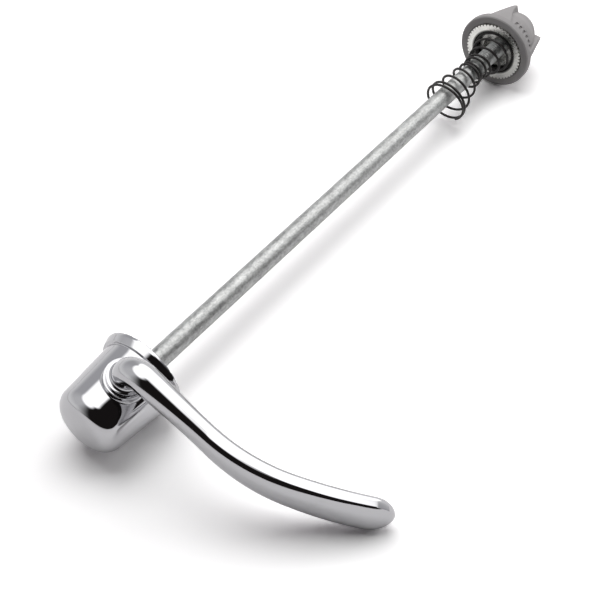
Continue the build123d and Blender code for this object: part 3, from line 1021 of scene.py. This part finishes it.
SPRING_SEAT = 150.4
SPRING_GAP = 0.3
SPRING_WIDE_R = 5.95
SPRING_NARROW_R = 3.4
SPRING_SHARP_DEG = 40
NUT_SPRING_LENGTH = 12.0
NUT_SPRING_START_DEG = 0
LEVER_SPRING_LENGTH = 14.6
LEVER_SPRING_START_DEG = 144
LEVER_SPRING_LEAN = math.radians(10.0)
ACTIVE_TURNS = 3.5
CLOSED_TURNS = 1.0
CLOSED_GAP = 0.05
PITCH_EASING = 0.5
STEPS_A_TURN = 56
WIRE_SIDES = 14
WIRE_END_EDGE = 0.06
WIRE_END_SHARE = 0.86


def spring_path(wire_r, length, start_deg, turn_sign):
    """Middle of a conical spring's wire along X, wide end first, with closed turns at both ends."""
    total = ACTIVE_TURNS + 2 * CLOSED_TURNS
    end_pitch = 2 * wire_r + CLOSED_GAP
    rise = length - 2 * wire_r - 2 * CLOSED_TURNS * end_pitch
    path = []
    steps = int(total * STEPS_A_TURN)
    for k in range(steps + 1):
        turn = total * k / steps
        share = min(max((turn - CLOSED_TURNS) / ACTIVE_TURNS, 0), 1)
        closed = turn - share * ACTIVE_TURNS
        eased_share = share + PITCH_EASING * (share * share * (3 - 2 * share) - share)
        radius = SPRING_WIDE_R + eased_share * (SPRING_NARROW_R - SPRING_WIDE_R)
        x = wire_r + closed * end_pitch + eased_share * rise
        angle = math.radians(start_deg + turn_sign * 360 * turn)
        path.append(Vector((x, -radius * math.sin(angle), radius * math.cos(angle))))
    return path


def wire_skin(path, wire_r):
    """Round wire along a path, with broken edges at its cut ends."""
    last = len(path) - 1
    rings = []
    for k, here in enumerate(path):
        ahead = (path[min(k + 1, last)] - path[max(k - 1, 0)]).normalized()
        side = ahead.cross(Vector((1, 0, 0))).normalized()
        up = side.cross(ahead)
        rim = [(side * math.cos(turn) + up * math.sin(turn)) * wire_r for turn in around(WIRE_SIDES)]
        middle = [here] * WIRE_SIDES
        face = [here + spot * WIRE_END_SHARE for spot in rim]
        if k == 0:
            rings += [middle, face, [here + ahead * WIRE_END_EDGE + spot for spot in rim]]
        elif k == last:
            rings += [[here - ahead * WIRE_END_EDGE + spot for spot in rim], face, middle]
        else:
            rings.append([here + spot for spot in rim])
    return skin(rings)


class SKEWER_OT_springs(bpy.types.Operator):
    """Winds both conical springs from round wire."""

    bl_idname = "skewer.springs"
    bl_label = "Springs"

    def execute(self, context):
        wire_r = context.scene.skewer_sizes.wire_diameter / MM / 2
        low_corner = (SPRING_NARROW_R + wire_r) * math.sin(LEVER_SPRING_LEAN)
        narrow_end = SPRING_SEAT - NUT_SPRING_LENGTH - SPRING_GAP - low_corner
        nut_place = Matrix.Translation((SPRING_SEAT, 0, 0)) @ Matrix.Rotation(math.pi, 4, "Z")
        lever_place = (
            Matrix.Translation((narrow_end, 0, 0))
            @ Matrix.Rotation(-LEVER_SPRING_LEAN, 4, "Y")
            @ Matrix.Translation((-LEVER_SPRING_LENGTH, 0, 0))
        )
        nut_path = spring_path(wire_r, NUT_SPRING_LENGTH, NUT_SPRING_START_DEG, 1)
        lever_path = spring_path(wire_r, LEVER_SPRING_LENGTH, LEVER_SPRING_START_DEG, -1)
        springs = (("nut_spring", nut_path, nut_place), ("lever_spring", lever_path, lever_place))
        for node, path, place in springs:
            mesh = build_mesh(node + "_shown", [wire_skin(path, wire_r)], place)
            stand_for(node, mesh, SPRING_SHARP_DEG, "blackened_wire", node)
        return {"FINISHED"}


# Nut and shaft end

class SKEWER_OT_nut(bpy.types.Operator):
    """Finishes the nut: the plated insert with its notched ring and the grey moulded knob."""

    bl_idname = "skewer.nut"
    bl_label = "Nut"

    def execute(self, context):
        sizes = context.scene.skewer_sizes
        soften("nut_insert", sizes.pressed_edge, "bright_zinc")
        soften("nut_cover", sizes.moulded_edge, "grey_moulding")
        return {"FINISHED"}


class SKEWER_OT_shaft_end(bpy.types.Operator):
    """Finishes the washer and the snap ring in the housing's far pocket."""

    bl_idname = "skewer.shaft_end"
    bl_label = "Washer and snap ring"

    def execute(self, context):
        edge = context.scene.skewer_sizes.pressed_edge
        soften("shaft_washer", edge, "plated_washer")
        soften("retaining_ring", edge, "blackened_wire")
        return {"FINISHED"}


# Studio

CAMERA_PLACE = Vector((-0.1048, -0.1241, 0.2012))
CAMERA_AIM = Vector((0.03794, -0.01443, 0.0))
CAMERA_SENSOR = 36.0
CAMERA_NEAREST = 0.01
OVERHEAD_PLACE = (0.2, 0.15, 0.74)
OVERHEAD_SIZE = (0.8, 0.6)
SIDE_PLACE = (0.5, -0.35, 0.35)
SIDE_SIZE = (0.5, 0.5)
FLOOR_HALF = 4.0
FLOOR_MIRRORED = 0.45
SWEEP_FADE = (0.17, 0.36)
SKY_TINT = (1.0, 0.93, 0.97)
SKY_DIM = 0.04
SKY_DIM_FACING = (0.05, 0.5)
DOME_R = 0.8
WHITE = (1.0, 1.0, 1.0)
PANEL_WHITE = (1.0, 0.995, 0.99)
RIGHT_EDGE_GREY = (0.5, 0.5, 0.52)
LEFT_NEAR_GREY = (0.58, 0.58, 0.6)
LEFT_FAR_GREY = (0.78, 0.78, 0.79)
FRONT_BLACK = (0.014, 0.012, 0.012)

# Places on the dome in degrees: sides count leftwards from straight behind the part, heights from the floor

FRONT_RIGHT = (-105, -92)
FRONT_LEFT = (104, 142)
FRONT_LEAN = 35
FRONT_LEAN_HEIGHT = (40, 70)
FRONT_CEILING = (64, 75)
WINDOW_RIGHT = (-74, -58)
WINDOW_LEFT = (-8, 20)
WINDOW_DROP = 24
CEILING = (45, 56)
RIGHT_EDGE = (-92, -66)
LEFT_NEAR = (35, 85)
LEFT_FOOT = (2, 24)
RIGHT_TO_LEFT = (-12, 26)


def seen_directly(flow, mirrored=1.0):
    """One for rays from the camera and refracted ones, a share of it for reflected ones, else nothing."""
    camera = flow.node("ShaderNodeLightPath", output="Is Camera Ray")
    glossy = flow.node("ShaderNodeLightPath", output="Is Glossy Ray")
    clear = flow.node("ShaderNodeLightPath", output="Is Transmission Ray")
    return flow.calc("MAXIMUM", flow.calc("MAXIMUM", camera, clear), glossy * mirrored)


def floor_material(studio):
    """Pale paper, which the camera sees as white with the part's shadow, and as plain white further off."""
    material, flow = new_material("studio_floor")
    paper = flow.noise(900.0, detail=2.0).step(0.3, 0.7)
    tone = paper.blend(rgba(studio.floor, 0.995), rgba(studio.floor))
    matte = flow.node("ShaderNodeBsdfDiffuse", inputs={"Color": tone})
    white = flow.node("ShaderNodeBsdfDiffuse", inputs={"Color": rgba(WHITE, studio.floor_white)})
    distance = flow.vector("DISTANCE", flow.place(), CAMERA_AIM, "Value")
    white = distance.step(*SWEEP_FADE).shade(white, flow.glow(WHITE))
    both = seen_directly(flow, FLOOR_MIRRORED).shade(matte, white)
    flow.node("ShaderNodeOutputMaterial", inputs={"Surface": both})
    return material


def dome_material(studio):
    """The room that the chrome mirrors: white above, pale on the right, grey on the left, dark in front."""
    material, flow = new_material("studio_dome")
    place = {0: flow.place()}
    along, aside, above = [flow.node("ShaderNodeSeparateXYZ", inputs=place, output=axis) for axis in "XYZ"]
    side = flow.calc("ARCTAN2", aside, along) * math.degrees(1)
    height = flow.calc("ARCSINE", above * (1 / DOME_R)) * math.degrees(1)
    left_edge = side - height.step(*FRONT_LEAN_HEIGHT) * FRONT_LEAN
    front = 1 - side.step(*FRONT_RIGHT) * left_edge.step(*FRONT_LEFT, 1.0, 0.0)
    window = side.step(*WINDOW_RIGHT) * side.step(*WINDOW_LEFT, 1.0, 0.0)
    ceiling = height + window * WINDOW_DROP
    white = ceiling.step(*CEILING) * (1 - front) + height.step(*FRONT_CEILING) * front
    pale = flow.glow(WHITE)
    right = side.step(*RIGHT_EDGE).shade(flow.glow(RIGHT_EDGE_GREY), pale)
    left = side.step(*LEFT_NEAR).shade(flow.glow(LEFT_NEAR_GREY), flow.glow(LEFT_FAR_GREY))
    left = height.step(*LEFT_FOOT).shade(pale, left)
    room = side.step(*RIGHT_TO_LEFT).shade(right, left)
    room = front.shade(room, flow.glow(FRONT_BLACK))
    light = white.shade(room, flow.glow(PANEL_WHITE, studio.panel))
    bounces = flow.node("ShaderNodeLightPath", output="Diffuse Depth")
    mirrored = flow.calc("LESS_THAN", bounces, 0.5)
    light = flow.node("ShaderNodeMixShader", inputs={0: mirrored, 2: light})
    flow.node("ShaderNodeOutputMaterial", inputs={"Surface": light})
    return material


def dome_mesh():
    """Half a sphere that stands on the floor, open below."""
    columns, rows = 64, 20
    rings = []
    for row in range(rows + 1):
        height = math.pi / 2 * row / rows
        ring = []
        for turn in around(columns):
            ring.append(Vector((
                DOME_R * math.cos(height) * math.cos(turn),
                DOME_R * math.cos(height) * math.sin(turn),
                DOME_R * math.sin(height),
            )))
        rings.append(ring)
    points, faces = skin(rings)
    mesh = bpy.data.meshes.new("studio_dome")
    mesh.from_pydata(points, [], faces)
    mesh.polygons.foreach_set("use_smooth", [True] * len(mesh.polygons))
    return mesh


class SKEWER_OT_stage(bpy.types.Operator):
    """Sets up the pale floor, the world, two lamps, the dome that the chrome mirrors, and the camera."""

    bl_idname = "skewer.stage"
    bl_label = "Studio"

    def execute(self, context):
        studio = context.scene.skewer_studio
        context.scene.view_settings.view_transform = "Standard"
        self.make_floor(studio)
        self.make_world(context, studio)
        self.add_lamp("overhead", OVERHEAD_PLACE, OVERHEAD_SIZE, studio.lamp_power)
        self.add_lamp("side", SIDE_PLACE, SIDE_SIZE, studio.side_power)
        self.make_dome(studio)
        self.make_camera(context, studio)
        return {"FINISHED"}

    def make_floor(self, studio):
        corners = []
        for x, y in ((-1, -1), (1, -1), (1, 1), (-1, 1)):
            corners.append((x * FLOOR_HALF, y * FLOOR_HALF, FLOOR_Z))
        mesh = bpy.data.meshes.new("studio_floor")
        mesh.from_pydata(corners, [], [(0, 1, 2, 3)])
        add_object("studio_floor", mesh, floor_material(studio))

    def make_world(self, context, studio):
        world = bpy.data.worlds.new("studio_world")
        world.use_nodes = True
        world.node_tree.nodes.clear()
        flow = Flow(world.node_tree)
        toward = (CAMERA_PLACE - CAMERA_AIM).normalized()
        direction = flow.node("ShaderNodeTexCoord", output="Generated")
        facing = flow.vector("DOT_PRODUCT", direction, toward, "Value")
        lights = []
        for colour, strength in ((SKY_TINT, studio.sky), (SKY_TINT, studio.sky * SKY_DIM), (WHITE, 1.0)):
            inputs = {"Color": rgba(colour), "Strength": strength}
            lights.append(flow.node("ShaderNodeBackground", inputs=inputs))
        sky, dim, white = lights
        light = facing.step(*SKY_DIM_FACING).shade(sky, dim)
        light = seen_directly(flow).shade(light, white)
        flow.node("ShaderNodeOutputWorld", inputs={"Surface": light})
        context.scene.world = world

    def add_lamp(self, name, place, size, power):
        lamp = bpy.data.lights.new(name, "AREA")
        lamp.shape = "RECTANGLE"
        lamp.size, lamp.size_y = size
        lamp.energy = power
        holder = bpy.data.objects.new(name, lamp)
        holder.location = place
        holder.rotation_euler = (CAMERA_AIM - holder.location).to_track_quat("-Z", "Y").to_euler()
        holder.visible_glossy = False
        bpy.context.scene.collection.objects.link(holder)

    def make_dome(self, studio):
        away = CAMERA_AIM - CAMERA_PLACE
        dome = add_object("studio_dome", dome_mesh(), dome_material(studio))
        dome.location = (CAMERA_AIM.x, CAMERA_AIM.y, FLOOR_Z)
        dome.rotation_euler = (0, 0, math.atan2(away.y, away.x))
        dome.visible_camera = False
        dome.visible_diffuse = False
        dome.visible_shadow = False
        dome.visible_transmission = False

    def make_camera(self, context, studio):
        camera = bpy.data.cameras.new("camera")
        camera.lens = studio.lens
        camera.sensor_width = CAMERA_SENSOR
        camera.clip_start = CAMERA_NEAREST
        holder = bpy.data.objects.new("camera", camera)
        holder.location = CAMERA_PLACE
        holder.rotation_euler = (CAMERA_AIM - CAMERA_PLACE).to_track_quat("-Z", "Y").to_euler()
        context.scene.collection.objects.link(holder)
        context.scene.camera = holder


# Panel and registration

class SKEWER_PT_panel(bpy.types.Panel):
    """Lists the pieces with their sizes and colours."""

    bl_idname = "SKEWER_PT_panel"
    bl_label = "Quick Release Skewer"
    bl_space_type = "VIEW_3D"
    bl_region_type = "UI"
    bl_category = "Skewer"

    def draw(self, context):
        for name in STEPS:
            self.layout.operator("skewer." + name)
        for group in (context.scene.skewer_sizes, context.scene.skewer_finish, context.scene.skewer_studio):
            box = self.layout.box()
            for name in group.bl_rna.properties.keys():
                if name not in ("rna_type", "name"):
                    box.prop(group, name)


STEPS = ("finishes", "housing", "lever", "rod", "springs", "nut", "shaft_end", "stage")
CLASSES = (
    SkewerSizes,
    SkewerFinish,
    SkewerStudio,
    SKEWER_OT_finishes,
    SKEWER_OT_housing,
    SKEWER_OT_lever,
    SKEWER_OT_rod,
    SKEWER_OT_springs,
    SKEWER_OT_nut,
    SKEWER_OT_shaft_end,
    SKEWER_OT_stage,
    SKEWER_PT_panel,
)


def register():
    for item in CLASSES:
        bpy.utils.register_class(item)
    bpy.types.Scene.skewer_sizes = PointerProperty(type=SkewerSizes)
    bpy.types.Scene.skewer_finish = PointerProperty(type=SkewerFinish)
    bpy.types.Scene.skewer_studio = PointerProperty(type=SkewerStudio)


def unregister():
    del bpy.types.Scene.skewer_studio
    del bpy.types.Scene.skewer_finish
    del bpy.types.Scene.skewer_sizes
    for item in reversed(CLASSES):
        bpy.utils.unregister_class(item)


def main():
    """Builds every piece and the studio."""
    register()
    for name in STEPS:
        getattr(bpy.ops.skewer, name)()


if __name__ == "__main__":
    main()
